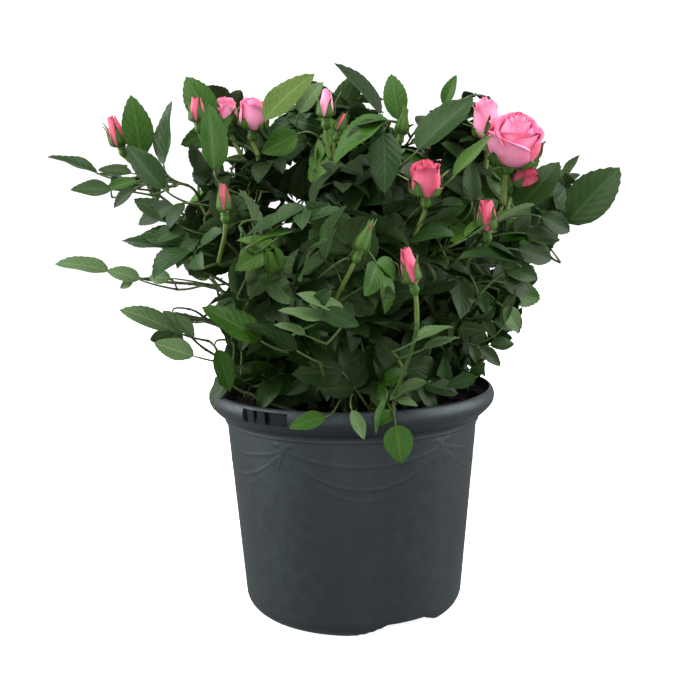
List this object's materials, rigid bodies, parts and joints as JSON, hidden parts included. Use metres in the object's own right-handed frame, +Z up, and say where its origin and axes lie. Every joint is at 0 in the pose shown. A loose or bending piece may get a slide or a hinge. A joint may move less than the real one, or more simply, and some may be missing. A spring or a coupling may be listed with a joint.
{
  "type": "potted rose bush",
  "caption": "Low, spreading patio rose: thin canes fan out of a round black nursery pot into a dense leafy crown with small pink double blooms.",
  "frame": {"origin": "centre of the pot's foot, on the surface that it stands on", "axes": "+Z up along the pot's axis, -Y towards the front, +X to the right as seen from the front"},
  "size_m": [0.3689, 0.3222, 0.3596],
  "materials": {
    "pot_plastic": "satin slate grey moulded plastic",
    "potting_mix": "moist dark compost with fibres and bark",
    "cane_bark": "smooth green bark with small prickles",
    "leaf": "glossy dark green leaves, paler below"
  },
  "bodies": {
    "root": {"pot": "pot_plastic", "potting_mix": "potting_mix", "cane_heart": "cane_bark", "cane_front_left": "cane_bark", "cane_front_centre": "cane_bark", "cane_front_right": "cane_bark", "cane_back_left": "cane_bark", "cane_back_centre": "cane_bark", "cane_back_right": "cane_bark", "cane_left_high": "cane_bark", "cane_right_high": "cane_bark", "cane_left_low": "cane_bark", "cane_left_reach": "cane_bark", "cane_right_low": "cane_bark", "cane_skirt_front": "cane_bark", "cane_skirt_left": "cane_bark", "cane_skirt_right": "cane_bark", "cane_skirt_back_left": "cane_bark", "cane_skirt_back_right": "cane_bark", "leaves_heart": "leaf", "leaves_front_left": "leaf", "leaves_front_centre": "leaf", "leaves_front_right": "leaf", "leaves_back_left": "leaf", "leaves_back_centre": "leaf", "leaves_back_right": "leaf", "leaves_left_high": "leaf", "leaves_right_high": "leaf", "leaves_left_low": "leaf", "leaves_left_reach": "leaf", "leaves_right_low": "leaf", "leaves_skirt_front": "leaf", "leaves_skirt_left": "leaf", "leaves_skirt_right": "leaf", "leaves_skirt_back_left": "leaf", "leaves_skirt_back_right": "leaf", "leaves_crest_centre": "leaf", "leaves_crest_left": "leaf", "leaves_crest_right": "leaf", "leaves_crest_back": "leaf", "leaves_crest_front": "leaf"}
  },
  "joints": []
}
